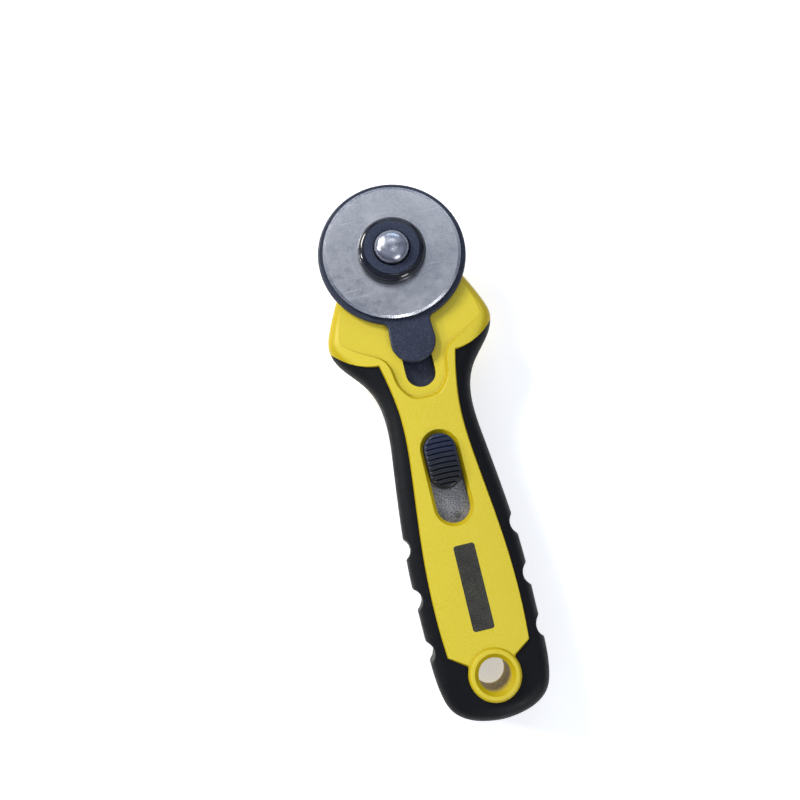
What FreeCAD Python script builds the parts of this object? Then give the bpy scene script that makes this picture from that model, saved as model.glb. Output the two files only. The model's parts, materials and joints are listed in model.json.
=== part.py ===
import FreeCAD, Part
import os
import Sketcher

# Rotary cutter with a sliding blade guard, lying on its back.
# Row frame: +Z up along the blade axis, +Y towards the blade, X = 0 is the plane of symmetry,
# Z = 0 is the flat back of the handle and Y = 0 is half way along the tool.
# Every sub-part is drawn about the blade axis and then placed by its Placement.

Vec = FreeCAD.Vector
doc = FreeCAD.newDocument("RotaryCutter")

DIMENSIONS = [
    ("Whole tool", [
        ("blade_axis_y", 62.45, "blade axis ahead of the middle of the tool"),
        ("split_z", 12.0, "parting plane of the two shells"),
        ("face_z", 21.3, "crest of the crowned front face"),
        ("grip_face_z", 20.5, "crest of the soft grip, a step below the face"),
        ("crown_radius", 170.0, "crown of the front face across the tool"),
        ("front_round", 4.8, "rounding of the front outline"),
        ("back_round", 6.0, "rounding of the back outline"),
        ("head_back_z", 7.5, "back of the thin head"),
        ("ramp_start_y", -34.0, "the back leaves the head's level here"),
        ("ramp_end_y", -56.0, "and reaches the handle's level here"),
        ("slack", 0.3, "room left round each moving piece"),
        ("fit_gap", 0.04, "radial running clearance"),
        ("past", 1.0, "how far a cutter runs past the surface it opens"),
    ]),
    ("Shells", [
        ("floor_z", 19.7, "floor of the guard's recess"),
        ("ceiling_z", 17.4, "inside of the front wall"),
        ("back_wall", 2.4, "wall of the back shell"),
        ("neck_end_y", -57.0, "the deep channel of the handle starts here"),
        ("channel_half_width", 6.9, "inside half width along the handle"),
        ("channel_end_y", -115.0, "inside end towards the butt"),
        ("head_hollow_radius", 12.0, "hollow of the head round the axle"),
        ("hub_boss_radius", 4.6, "boss that the guard's slot rides on"),
        ("hub_boss_top_z", 22.0, "top of that boss"),
        ("window_half_width", 5.3, "opening for the thumb button"),
        ("window_front_y", -61.0, "front end of the opening"),
        ("window_back_y", -89.5, "back end of the opening"),
        ("window_bevel", 1.1, "width of the bevel round the opening"),
        ("window_bevel_depth", 1.0, "depth of that bevel"),
        ("floor_slot_radius", 4.85, "half width of the slot under the tongue"),
        ("floor_slot_front_y", -29.8, "centre of its front end"),
        ("floor_slot_back_y", -40.55, "centre of its back end"),
        ("border_lift", 0.2, "top of the border's rounding above the crest"),
        ("border_round", 1.6, "rounding where the hard face meets the grip"),
        ("hang_y", -135.6, "centre of the hang hole"),
        ("hang_radius", 4.95, "radius of the hang hole"),
        ("hang_bevel", 1.2, "bevel of the hang hole"),
        ("ring_radius", 8.0, "outside of the ring round the hang hole"),
        ("ring_lift", 0.7, "height of the ring above the face"),
        ("ring_round", 1.2, "rounding of the ring"),
        ("ring_corner_round", 1.0, "hollow rounding where the strip runs into the ring"),
        ("notch_radius", 3.6, "finger notches in the grip"),
        ("notch_pitch", 15.9, "distance between notches"),
        ("notch_first_y", -93.6, "notch nearest the blade"),
        ("notch_x", 19.5, "centre of the notch cutters"),
        ("notch_lip_round", 0.9, "rounding of the notches' lips"),
        ("rail_top_z", 15.7, "top of the rails under the slide plate"),
        ("rail_thickness", 1.4, "thickness of a rail"),
        ("rail_x", 5.8, "rails under the plate, each side"),
        ("rail_front_y", -75.0, "front end of those rails"),
        ("rail_back_y", -112.0, "back end of those rails"),
        ("link_rail_x", 4.0, "rails under the link, each side"),
        ("link_rail_back_y", -53.0, "back end of those rails, clear of the plate's rivets"),
        ("nut_seat_radius", 9.9, "round pocket for the nut in the head's back"),
        ("nut_seat_z", 8.9, "floor of that pocket"),
        ("seat_wall", 1.6, "wall above that pocket"),
    ]),
    ("Blade and axle", [
        ("blade_z", 22.7, "underside of the blade"),
        ("cap_z", 23.1, "underside of the hub cap"),
        ("nut_top_z", 7.2, "top of the finger nut and underside of its washer"),
        ("blade_radius", 22.5, "standard 45 mm blade"),
        ("blade_thickness", 0.3, "thickness of the blade"),
        ("blade_bore_radius", 4.0, "standard 8 mm bore"),
        ("blade_bevel", 0.9, "width of the ground edge"),
        ("blade_land", 0.04, "thickness left at the edge"),
        ("blade_play", 0.1, "axial play of the blade"),
        ("bolt_radius", 2.5, "shank of the axle bolt"),
        ("bolt_hole_radius", 2.55, "holes the shank passes through"),
        ("bolt_tip_z", 4.2, "end of the shank"),
        ("bolt_tip_bevel", 0.5, "bevel at that end"),
        ("dome_radius", 5.8, "polished bolt head"),
        ("dome_rim", 0.6, "straight rim of the head"),
        ("dome_height", 2.8, "height of the dome above the rim"),
        ("cap_radius", 11.1, "hub cap"),
        ("cap_height", 3.7, "height of the hub cap"),
        ("cap_round", 2.2, "rounding of the hub cap's top edge"),
        ("cap_foot", 0.7, "bevel under the hub cap"),
        ("spacer_radius", 9.0, "washer under the blade"),
        ("spacer_thickness", 0.6, "thickness of that washer"),
        ("axle_plate_radius", 10.5, "steel plate inside the head"),
        ("axle_plate_thickness", 1.8, "thickness of that plate"),
        ("spring_inner_radius", 3.0, "conical spring washer, inside"),
        ("spring_outer_radius", 6.6, "conical spring washer, outside"),
        ("spring_height", 0.9, "height of the spring washer"),
        ("spring_sheet", 0.4, "sheet of the spring washer"),
        ("nut_washer_radius", 7.2, "washer under the nut"),
        ("nut_washer_thickness", 0.8, "thickness of that washer"),
        ("nut_radius", 9.0, "finger nut"),
        ("nut_height", 4.6, "height of the finger nut"),
        ("nut_flute_radius", 1.3, "flutes round the nut"),
        ("nut_flutes", 12, "number of flutes"),
        ("nut_slot_width", 1.8, "coin slot"),
        ("nut_slot_length", 12.0, "length of the coin slot"),
        ("nut_slot_depth", 0.8, "depth of the coin slot"),
        ("nut_edge", 0.8, "rounding of the nut's outer end"),
        ("insert_radius", 3.6, "brass insert in the nut"),
        ("insert_length", 3.2, "length of the insert"),
    ]),
    ("Guard and slide", [
        ("guard_radius", 24.25, "guard disc"),
        ("guard_z", 19.9, "underside of the guard"),
        ("guard_thickness", 1.9, "thickness of the guard"),
        ("guard_edge", 0.7, "rounding of the guard's rim"),
        ("guard_slot_radius", 4.9, "half width of the guard's own slot"),
        ("guard_travel", 10.6, "stroke from covered to ready to cut"),
        ("tongue_y", -30.1, "centre of the tongue's round end"),
        ("tongue_radius", 7.3, "round end of the tongue"),
        ("neck_half_width", 6.8, "tongue where it leaves the disc"),
        ("neck_y", -21.0, "root of the tongue inside the disc"),
        ("neck_round", 2.0, "rounding between disc and tongue"),
        ("guard_screw_depth", 1.1, "blind hole for the link screw"),
        ("link_half_width", 5.9, "link under the floor"),
        ("link_front_y", -24.6, "front end of the link"),
        ("link_step_y", -50.0, "where the link drops under the plate"),
        ("link_back_y", -62.0, "back end of the link"),
        ("link_z", 13.9, "underside of the link"),
        ("link_top_z", 17.1, "top of the link"),
        ("link_boss_radius", 4.4, "boss of the link in the floor slot"),
        ("plate_z", 15.9, "underside of the steel slide plate"),
        ("plate_thickness", 1.0, "sheet of the slide plate"),
        ("plate_half_width", 6.5, "half width of the slide plate"),
        ("plate_front_y", -50.2, "front end of the plate"),
        ("plate_back_y", -103.0, "back end of the plate"),
        ("plate_corner", 2.0, "corner radius of the plate"),
        ("rivet_radius", 1.2, "shank of the rivets"),
        ("rivet_head_radius", 2.0, "head of the rivets"),
        ("rivet_head", 0.35, "height of the rivet heads"),
        ("plate_rivet_x", 3.4, "rivets each side of the middle"),
        ("plate_rivet_y", -56.0, "rivets through plate and link"),
        ("button_y", -70.0, "middle of the thumb button"),
        ("button_half_width", 5.0, "thumb button"),
        ("button_length", 17.4, "length of the thumb button"),
        ("button_top_z", 23.0, "crest of the thumb button"),
        ("button_edge", 1.0, "rounding of the button's top edge"),
        ("rib_pitch", 1.6, "ribs across the button"),
        ("rib_depth", 0.75, "depth of the grooves"),
        ("rib_count", 9, "number of grooves"),
        ("button_rivet_pitch", 8.5, "distance between the button's rivets"),
        ("button_rivet_depth", 3.0, "how far they enter the button"),
        ("detent_x", 3.4, "line of the detent holes"),
        ("detent_y", -76.0, "detent hole in use when the guard is closed"),
        ("detent_hole_radius", 1.6, "detent hole"),
        ("bump_radius", 1.2, "bump of the leaf spring"),
        ("bump_top_z", 16.6, "top of the bump"),
        ("leaf_width", 2.8, "leaf spring"),
        ("leaf_sheet", 0.4, "sheet of the leaf spring"),
        ("leaf_seat_z", 13.4, "seat of the leaf spring"),
        ("leaf_crest_z", 15.0, "level of the leaf beside its bump"),
        ("leaf_tip_y", -73.6, "free end of the leaf"),
        ("leaf_tip_drop", 0.5, "how far the free end hangs below the crest"),
        ("bump_overlap", 0.2, "how far the bump reaches into the leaf"),
        ("knee_to_bump", 2.0, "level stretch of the leaf behind its bump"),
        ("leaf_bend_y", -95.5, "bend next to the seat"),
        ("leaf_end_y", -104.0, "fixed end of the leaf"),
        ("leaf_screw_y", -100.0, "screw of the leaf"),
        ("leaf_post_radius", 2.6, "post under the leaf"),
        ("leaf_screw_radius", 0.9, "thread of the leaf's screw"),
        ("leaf_screw_head_radius", 1.6, "head of that screw"),
        ("leaf_screw_head", 1.2, "height of that head"),
        ("leaf_thread_z", 6.0, "end of that screw"),
        ("screw_hole_radius", 1.4, "thread of the screws"),
        ("screw_head_radius", 2.2, "head of the screws"),
        ("screw_head", 1.2, "height of the screw heads"),
        ("cross_width", 0.7, "width and depth of the cross in a screw head"),
        ("cross_length", 2.8, "length of that cross"),
        ("screw_tip_z", 16.9, "tips of the shell screws"),
        ("deep_screw_z", 7.0, "seat of the handle's screw heads"),
        ("shallow_screw_z", 7.8, "seat of the head's screw heads"),
    ]),
]

# half outlines about the blade axis, from the blade end to the butt, in millimetres
SILHOUETTE = [(0, 13), (7.2, 10.8), (11.6, 5.6), (21.6, -11.0), (25.9, -20.2), (27.2, -25.4), (26.0, -30.0),
              (22.6, -34.8), (17.7, -41.0), (15.0, -47.6), (14.3, -55.0), (15.15, -66.0), (16.9, -83.0),
              (18.1, -104.0), (17.85, -122.0), (16.7, -139.0), (14.85, -143.6), (10.8, -146.9), (5.5, -148.6),
              (0, -149.15)]
FACE_HEAD_EDGE = [(33.0, -17.0), (27.1, -27.2), (23.3, -31.2), (18.8, -34.1), (12.6, -35.9)]
FACE_STRIP_EDGE = [(12.6, -35.9), (11.1, -43.0), (9.7, -54.0), (10.1, -68.0), (11.65, -84.0), (12.85, -98.0),
                   (13.3, -112.0), (12.6, -128.0)]
FACE_RING_CORNER = (8.3, -131.2)
RECESS_RIM = [(29.0, -16.5), (25.0, -23.4), (20.4, -28.2), (14.5, -31.8), (10.4, -34.2), (8.5, -38.2),
              (7.8, -42.6), (5.2, -46.9), (0, -48.6)]
RIM_START = Vec(-1, -1.4, 0)
# slope of the recess's wall: height above the floor, distance outside the rim
RECESS_SLOPE = [(0.0, 0.0), (0.9, 0.3), (1.35, 0.8), (1.7, 1.6), (2.1, 3.2)]
BEYOND = 45.0
TOLERANCE = 1e-3
HEAD_SCREWS = [(-16.0, -21.0), (16.0, -21.0)]
NOTCHES = 3
HANDLE_SCREWS = [(-9.8, -96.0), (9.8, -96.0), (0.0, -121.0)]
SUB_PARTS = {}


def fill_sheet():
    """Write every driving dimension as a named cell."""
    sheet = doc.addObject("Spreadsheet::Sheet", "Dims")
    row = 1
    for title, cells in DIMENSIONS:
        sheet.set(f"A{row}", title)
        row += 1
        for name, value, note in cells:
            sheet.set(f"A{row}", name)
            sheet.set(f"B{row}", str(value))
            sheet.setAlias(f"B{row}", name)
            sheet.set(f"C{row}", note)
            row += 1
    doc.recompute()
    return sheet


dims = fill_sheet()


def full(expression):
    """Turn the bare names of an expression into references to the sheet."""
    words = []
    for word in str(expression).replace("(", "( ").replace(")", " )").split():
        bare = word.lstrip("-")
        sign = word[:len(word) - len(bare)]
        words.append(sign + "Dims." + bare if bare[:1].isalpha() else word)
    return " ".join(words)


def size(expression):
    """The present value of an expression."""
    return float(dims.evalExpression(full(expression)))


def bind(thing, path, expression):
    thing.setExpression(path, full(expression))


def finish(thing, label, placed=True, lift="0"):
    """Name a sub-part and put it where the tool's frame wants it."""
    thing.Label = label
    if placed:
        bind(thing, "Placement.Base.y", "blade_axis_y")
        bind(thing, "Placement.Base.z", lift)
    SUB_PARTS[label] = thing
    return thing


# ---- PartDesign helpers ----------------------------------------

def new_body(label, lift="0"):
    return finish(doc.addObject("PartDesign::Body", label), label, lift=lift)


def sketch_on(body, name, plane="XY_Plane", offset="0"):
    sketch = body.newObject("Sketcher::SketchObject", name)
    support = next(f for f in body.Origin.OriginFeatures if f.Role == plane)
    sketch.AttachmentSupport = [(support, "")]
    sketch.MapMode = "FlatFace"
    bind(sketch, "AttachmentOffset.Base.z", offset)
    return sketch


def hold(sketch, kind, axis, geometry, point, expression):
    """Hold one coordinate of a point at an expression."""
    if str(expression) == "0":
        sketch.addConstraint(Sketcher.Constraint("PointOnObject", geometry, point, axis))
        return
    number = sketch.addConstraint(Sketcher.Constraint(kind, -1, 1, geometry, point, size(expression)))
    bind(sketch, f"Constraints[{number}]", expression)


def pin_height(sketch, geometry, point, along):
    hold(sketch, "DistanceY", -1, geometry, point, along)


def pin_point(sketch, geometry, point, across, along):
    hold(sketch, "DistanceX", -2, geometry, point, across)
    pin_height(sketch, geometry, point, along)


def outline(sketch, corners):
    """A closed outline. A corner with a third item is joined to the next one by an arc that
    bulges towards that item; its centre lies on the upright axis, or at the height that a
    fourth item gives where both ends already put it on that axis."""
    first = sketch.GeometryCount
    count = len(corners)
    spots = [Vec(size(c[0]), size(c[1]), 0) for c in corners]
    for i, corner in enumerate(corners):
        start, end = spots[i], spots[(i + 1) % count]
        if len(corner) == 2:
            sketch.addGeometry(Part.LineSegment(start, end), False)
        else:
            middle = Vec(size(corner[2][0]), size(corner[2][1]), 0)
            sketch.addGeometry(Part.Arc(start, middle, end), False)
    arcs = [len(c) > 2 for c in corners]
    for i in range(count):
        here, after = first + i, first + (i + 1) % count
        end_point = _arc_end(sketch, here, spots[(i + 1) % count]) if arcs[i] else 2
        next_arc = arcs[(i + 1) % count]
        start_point = _arc_end(sketch, after, spots[(i + 1) % count]) if next_arc else 1
        sketch.addConstraint(Sketcher.Constraint("Coincident", here, end_point, after, start_point))
        pin_point(sketch, after, start_point, corners[(i + 1) % count][0], corners[(i + 1) % count][1])
    for i, corner in enumerate(corners):
        if len(corner) == 3:
            sketch.addConstraint(Sketcher.Constraint("PointOnObject", first + i, 3, -2))
        if len(corner) == 4:
            pin_height(sketch, first + i, 3, corner[3])


def _arc_end(sketch, geometry, spot):
    """Which end of an arc, 1 or 2, lies at a spot."""
    near = sketch.getPoint(geometry, 1).distanceToPoint(spot)
    far = sketch.getPoint(geometry, 2).distanceToPoint(spot)
    return 1 if near < far else 2


def circle(sketch, radius, across="0", along="0"):
    centre = Vec(size(across), size(along), 0)
    number = sketch.addGeometry(Part.Circle(centre, Vec(0, 0, 1), size(radius)), False)
    held = sketch.addConstraint(Sketcher.Constraint("Radius", number, size(radius)))
    bind(sketch, f"Constraints[{held}]", radius)
    pin_point(sketch, number, 3, across, along)


def slot_shape(sketch, radius, front, back):
    """A slot along Y on the middle line, with round ends centred at front and back."""
    outline(sketch, [(radius, front, ("0", f"{front} + {radius}"), front), (f"-1 * {radius}", front),
                     (f"-1 * {radius}", back, ("0", f"{back} - {radius}"), back), (radius, back)])


def revolve(body, name, corners):
    """Turn a closed profile, drawn as (radius, height), about the blade axis."""
    sketch = sketch_on(body, name + "_profile", "XZ_Plane")
    outline(sketch, corners)
    feature = body.newObject("PartDesign::Revolution", name)
    feature.Profile = sketch
    feature.ReferenceAxis = (sketch, ["V_Axis"])
    feature.Angle = 360
    doc.recompute()
    return feature


def pad(body, name, draw, height, offset="0", plane="XY_Plane", midplane=False):
    sketch = sketch_on(body, name + "_sketch", plane, offset)
    draw(sketch)
    feature = body.newObject("PartDesign::Pad", name)
    feature.Profile = sketch
    bind(feature, "Length", height)
    feature.Midplane = midplane
    doc.recompute()
    return feature


def pocket(body, name, draw, depth, offset="0", plane="XY_Plane", midplane=False):
    """Cut upwards from the sketch, or both ways; a cut that removes nothing is an error."""
    before = body.Shape.Volume
    sketch = sketch_on(body, name + "_sketch", plane, offset)
    draw(sketch)
    feature = body.newObject("PartDesign::Pocket", name)
    feature.Profile = sketch
    bind(feature, "Length", depth)
    feature.Midplane = midplane
    feature.Reversed = not midplane
    doc.recompute()
    assert body.Shape.Volume < before - TOLERANCE, name + " cuts nothing"
    return feature


def dress(body, kind, name, amount, wanted):
    """Fillet or chamfer the edges of the body that a test picks."""
    tip = body.Tip
    edges = [f"Edge{i + 1}" for i, edge in enumerate(tip.Shape.Edges) if wanted(edge)]
    assert edges, name + " finds no edge"
    feature = body.newObject("PartDesign::" + kind, name)
    feature.Base = (tip, edges)
    bind(feature, "Radius" if kind == "Fillet" else "Size", amount)
    doc.recompute()
    return feature


def ring_at(radius, height):
    """Test for round edges of one radius at one height."""
    def test(edge):
        round_edge = hasattr(edge.Curve, "Radius")
        return round_edge and abs(edge.Curve.Radius - size(radius)) < TOLERANCE and level_at(height)(edge)
    return test


def level_at(height):
    """Test for edges lying flat at one height."""
    def test(edge):
        box = edge.BoundBox
        return abs(box.ZMin - size(height)) < TOLERANCE and abs(box.ZMax - size(height)) < TOLERANCE
    return test


def rectangle(low_x, high_x, low_y, high_y):
    corners = [(low_x, low_y), (high_x, low_y), (high_x, high_y), (low_x, high_y)]
    return lambda sketch: outline(sketch, corners)


# ---- Part helpers ----------------------------------------

def cylinder(name, radius, low, high, across="0", along="0"):
    thing = doc.addObject("Part::Cylinder", name)
    bind(thing, "Radius", radius)
    bind(thing, "Height", f"{high} - ({low})")
    for path, expression in zip("xyz", (across, along, low)):
        bind(thing, "Placement.Base." + path, expression)
    return thing


def cone(name, bottom_radius, top_radius, low, high, across="0", along="0"):
    thing = doc.addObject("Part::Cone", name)
    bind(thing, "Radius1", bottom_radius)
    bind(thing, "Radius2", top_radius)
    bind(thing, "Height", f"{high} - ({low})")
    for path, expression in zip("xyz", (across, along, low)):
        bind(thing, "Placement.Base." + path, expression)
    return thing


def box(name, low_x, high_x, low_y, high_y, low_z, high_z):
    thing = doc.addObject("Part::Box", name)
    for side, path, low, high in (("Length", "x", low_x, high_x), ("Width", "y", low_y, high_y),
                                  ("Height", "z", low_z, high_z)):
        bind(thing, side, f"{high} - ({low})")
        bind(thing, "Placement.Base." + path, low)
    return thing


def fuse(name, shapes):
    thing = doc.addObject("Part::MultiFuse", name)
    thing.Shapes = shapes
    thing.Refine = True
    return thing


def common(name, first, second):
    thing = doc.addObject("Part::Common", name)
    thing.Base, thing.Tool = first, second
    return thing


def cut(name, base, tool):
    thing = doc.addObject("Part::Cut", name)
    thing.Base, thing.Tool = base, tool
    return thing


def feature(name, shape):
    thing = doc.addObject("Part::Feature", name)
    thing.Shape = shape
    return thing


# ---- free outlines of the handle ----------------------------------------

def smooth(points):
    """A smooth curve through points."""
    curve = Part.BSplineCurve()
    curve.interpolate(Points=[Vec(x, y, 0) for x, y in points])
    return curve.toShape()


def straight(first, second):
    return Part.makeLine(Vec(*first, 0), Vec(*second, 0))


def closed_smooth(half):
    """A smooth closed curve through half an outline and its mirror image in X = 0."""
    points = half + [(-x, y) for x, y in half[-2:0:-1]]
    curve = Part.BSplineCurve()
    curve.interpolate(Points=[Vec(x, y, 0) for x, y in points], PeriodicFlag=True)
    return Part.Face(Part.Wire(curve.toShape()))


def both_sides(edges):
    """A flat face from half an outline and its mirror image in X = 0."""
    half = Part.Wire(Part.__sortEdges__(edges))
    other = half.mirror(Vec(0, 0, 0), Vec(1, 0, 0))
    return Part.Face(Part.Wire(Part.__sortEdges__(half.Edges + other.Edges)))


def prism(face, low, high):
    face.translate(Vec(0, 0, size(low)))
    return face.extrude(Vec(0, 0, size(high) - size(low)))


def side_bar(crest):
    """The tool seen from the side: a level front, a thin head and a deep handle."""
    start, end, head = size("ramp_start_y"), size("ramp_end_y"), size("head_back_z")
    middle = (start + end) / 2
    ramp = Part.BezierCurve()
    ramp.setPoles([Vec(0, start, head), Vec(0, middle, head), Vec(0, middle, 0), Vec(0, end, 0)])
    far, near = -4 * BEYOND, BEYOND
    corners = [Vec(0, end, 0), Vec(0, far, 0), Vec(0, far, crest), Vec(0, near, crest), Vec(0, near, head),
               Vec(0, start, head)]
    edges = [Part.makeLine(a, b) for a, b in zip(corners, corners[1:])] + [ramp.toShape()]
    face = Part.Face(Part.Wire(Part.__sortEdges__(edges)))
    face.translate(Vec(-BEYOND, 0, 0))
    return face.extrude(Vec(2 * BEYOND, 0, 0))


def handle_form(crest):
    """The whole handle as one rounded solid with its crest at a height."""
    blank = prism(closed_smooth(SILHOUETTE), "0", crest)
    radius = size("crown_radius")
    centre = Vec(0, BEYOND, crest - radius)
    barrel = Part.makeCylinder(radius, 6 * BEYOND, centre, Vec(0, -1, 0))
    blank = blank.common(side_bar(crest)).common(barrel)
    for radius, front in (("front_round", True), ("back_round", False)):
        blank = blank.makeFillet(size(radius), [e for e in blank.Edges if _on_outline(e, front)])
    return blank


def _on_outline(edge, front):
    """Edges that run round the outline, above or below the parting plane."""
    box = edge.BoundBox
    split = size("split_z")
    level = box.ZMin > split if front else box.ZMax < split
    return level and box.XLength > 1 and box.YLength > TOLERANCE


def face_outline():
    """Outline of the hard yellow part; round the head it lies outside the silhouette."""
    ring_y, ring = size("hang_y"), size("ring_radius")
    corner = Vec(*FACE_RING_CORNER, 0)
    centre = Vec(0, ring_y, 0)
    start = centre + (corner - centre).normalize() * ring
    low = Vec(0, ring_y - ring, 0)
    middle = centre + ((start - centre).normalize() + (low - centre).normalize()).normalize() * ring
    tip = FACE_HEAD_EDGE[0]
    edges = [straight((0, BEYOND), (tip[0], BEYOND)), straight((tip[0], BEYOND), tip),
             smooth(FACE_HEAD_EDGE), smooth(FACE_STRIP_EDGE),
             straight(FACE_STRIP_EDGE[-1], (start.x, start.y)), Part.Arc(start, middle, low).toShape()]
    return both_sides(edges)


def rim_curve(spots):
    """A smooth curve along the recess's rim that meets the middle line square on."""
    curve = Part.BSplineCurve()
    curve.interpolate(Points=spots, InitialTangent=RIM_START, FinalTangent=Vec(-1, 0, 0))
    return curve


def recess_wire(height, out):
    """Edge of the guard's recess, a height above its floor and a distance outside its rim."""
    rim = [Vec(x, y, 0) for x, y in RECESS_RIM]
    curve = rim_curve(rim)
    tangents = [curve.tangent(curve.parameter(spot))[0] for spot in rim]
    level = Vec(0, 0, size("floor_z") + height)
    spots = [spot + Vec(-t.y, t.x, 0) * out + level for spot, t in zip(rim, tangents)]
    corners = [Vec(0, BEYOND, 0) + level, Vec(BEYOND, BEYOND, 0) + level, spots[0]]
    half = [Part.makeLine(a, b) for a, b in zip(corners, corners[1:])] + [rim_curve(spots).toShape()]
    mirrored = Part.Wire(half).mirror(Vec(0, 0, 0), Vec(1, 0, 0))
    return Part.Wire(Part.__sortEdges__(half + mirrored.Edges))


def recess_cutter():
    return Part.makeLoft([recess_wire(height, out) for height, out in RECESS_SLOPE], True, True)


def face_prism(high):
    """The hard part's outline as a tall solid, from below the back up to a height."""
    block = prism(face_outline(), "-1 * past", high)
    edges = []
    for edge in block.Edges:
        spot = edge.Vertexes[0].Point
        reach = spot.distanceToPoint(Vec(0, size("hang_y"), spot.z))
        if upright(edge) and abs(reach - size("ring_radius")) < TOLERANCE and abs(spot.x) > 1:
            edges.append(edge)
    return block.makeFillet(size("ring_corner_round"), edges)


# ---- handle: two hard shells and two soft grips ----------------------------------------

def slot_wire(radius, front, back, level):
    """Outline of a slot along Y with round ends centred at front and back."""
    r, y1, y2, z = size(radius), size(front), size(back), size(level)
    left, right = Part.makeLine(Vec(-r, y1, z), Vec(-r, y2, z)), Part.makeLine(Vec(r, y2, z), Vec(r, y1, z))
    low = Part.Arc(Vec(-r, y2, z), Vec(0, y2 - r, z), Vec(r, y2, z)).toShape()
    top = Part.Arc(Vec(r, y1, z), Vec(0, y1 + r, z), Vec(-r, y1, z)).toShape()
    return Part.Wire([left, low, right, top])


def slot_cutter(radius, front, back, low, high, flare="0"):
    """A slot-shaped solid, wider at the top by the flare."""
    wires = [slot_wire(radius, front, back, low), slot_wire(f"{radius} + {flare}", front, back, high)]
    return Part.makeLoft(wires, True, True)


def plain_core():
    """The hard part of the handle."""
    return handle_form(size("face_z")).common(face_prism("face_z"))


def rounded_core():
    """The hard part of the handle with its border on the front face rounded."""
    blank = face_prism("face_z + border_lift")
    crest = [e for e in blank.Edges if e.BoundBox.ZMin > size("face_z") and e.BoundBox.XLength > TOLERANCE]
    return handle_form(size("face_z")).common(blank.makeFillet(size("border_round"), crest))


def soft_ring():
    """The soft grip round both sides and the butt, before it is parted and notched."""
    return handle_form(size("grip_face_z")).cut(face_prism("face_z + past"))


def half_space(name, upper):
    low, high = ("split_z", f"face_z + {BEYOND}") if upper else ("-1 * past", "split_z")
    return box(name, -BEYOND, BEYOND, -4 * BEYOND, BEYOND, low, high)


def hollow(name, low, high):
    """Inside of the head and of its neck."""
    head = cylinder(name + "_head", "head_hollow_radius", low, high)
    neck = box(name + "_neck", "-1 * channel_half_width", "channel_half_width", "neck_end_y", "0", low, high)
    return [head, neck]


def channel(name, low, high):
    return box(name, "-1 * channel_half_width", "channel_half_width", "channel_end_y", "neck_end_y",
               low, high)


def hang_cutters(name, low, high, bevel_at, upwards):
    """The hang hole and the bevel at its mouth."""
    bore = cylinder(name + "_bore", "hang_radius", low, high, "0", "hang_y")
    wide, narrow = "hang_radius + hang_bevel", "hang_radius"
    if upwards:
        bevel = cone(name + "_bevel", narrow, wide, f"{bevel_at} - hang_bevel", bevel_at, "0", "hang_y")
    else:
        bevel = cone(name + "_bevel", wide, narrow, bevel_at, f"{bevel_at} + hang_bevel", "0", "hang_y")
    return [bore, bevel]


def screw_places():
    """The shell screws: name, x, y and level of the head's seat."""
    places = [(f"head_{i}", x, y, "shallow_screw_z") for i, (x, y) in enumerate(HEAD_SCREWS)]
    return places + [(f"handle_{i}", x, y, "deep_screw_z") for i, (x, y) in enumerate(HANDLE_SCREWS)]


def rounded_ring(radius, low, high, rounding, along):
    """An upright cylinder with its top edge rounded."""
    blank = Part.makeCylinder(size(radius), size(f"{high} - {low}"), Vec(0, size(along), size(low)))
    top = [edge for edge in blank.Edges if level_at(high)(edge)]
    return blank.makeFillet(size(rounding), top)


def build_front_shell(core):
    upper = common("front_core", core, half_space("above_split", True))
    recess = feature("recess_cutter", recess_cutter())
    inside = fuse("front_inside", hollow("front_hollow", "split_z - past", "ceiling_z")
                  + [channel("front_channel", "split_z - past", "ceiling_z"), recess])
    shell = cut("front_wall", upper, inside)
    ring_top = "face_z + ring_lift"
    ring = feature("hang_ring", rounded_ring("ring_radius", "ceiling_z", ring_top, "ring_round", "hang_y"))
    bosses = [cylinder("hub_boss", "hub_boss_radius", "floor_z - past", "hub_boss_top_z"), ring]
    ends = ("window_front_y - window_half_width", "window_back_y + window_half_width")
    window = slot_cutter("window_half_width", *ends, "split_z", "face_z + past")
    mouth = slot_cutter("window_half_width", *ends, "face_z - window_bevel_depth", "face_z", "window_bevel")
    floor_slot = slot_cutter("floor_slot_radius", "floor_slot_front_y", "floor_slot_back_y", "split_z",
                             "face_z")
    holes = [cylinder("front_bolt_hole", "bolt_hole_radius", "split_z", "face_z + past"),
             feature("window_cutter", window), feature("mouth_cutter", mouth),
             feature("slot_cutter", floor_slot)]
    holes += hang_cutters("front_hang", "split_z - past", "face_z + past", ring_top, True)
    holes += [cylinder("front_thread_" + n, "screw_hole_radius", "split_z - past", "screw_tip_z", x, y)
              for n, x, y, seat in screw_places()]
    solid = fuse("front_solid", [shell] + bosses)
    finish(cut("front_shell", solid, fuse("front_holes", holes)), "front_shell")


def rail(name, middle, *ends):
    """A thin wall along the tool that a moving piece rests on."""
    return box(name, f"{middle} - rail_thickness / 2", f"{middle} + rail_thickness / 2", *ends)


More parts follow.
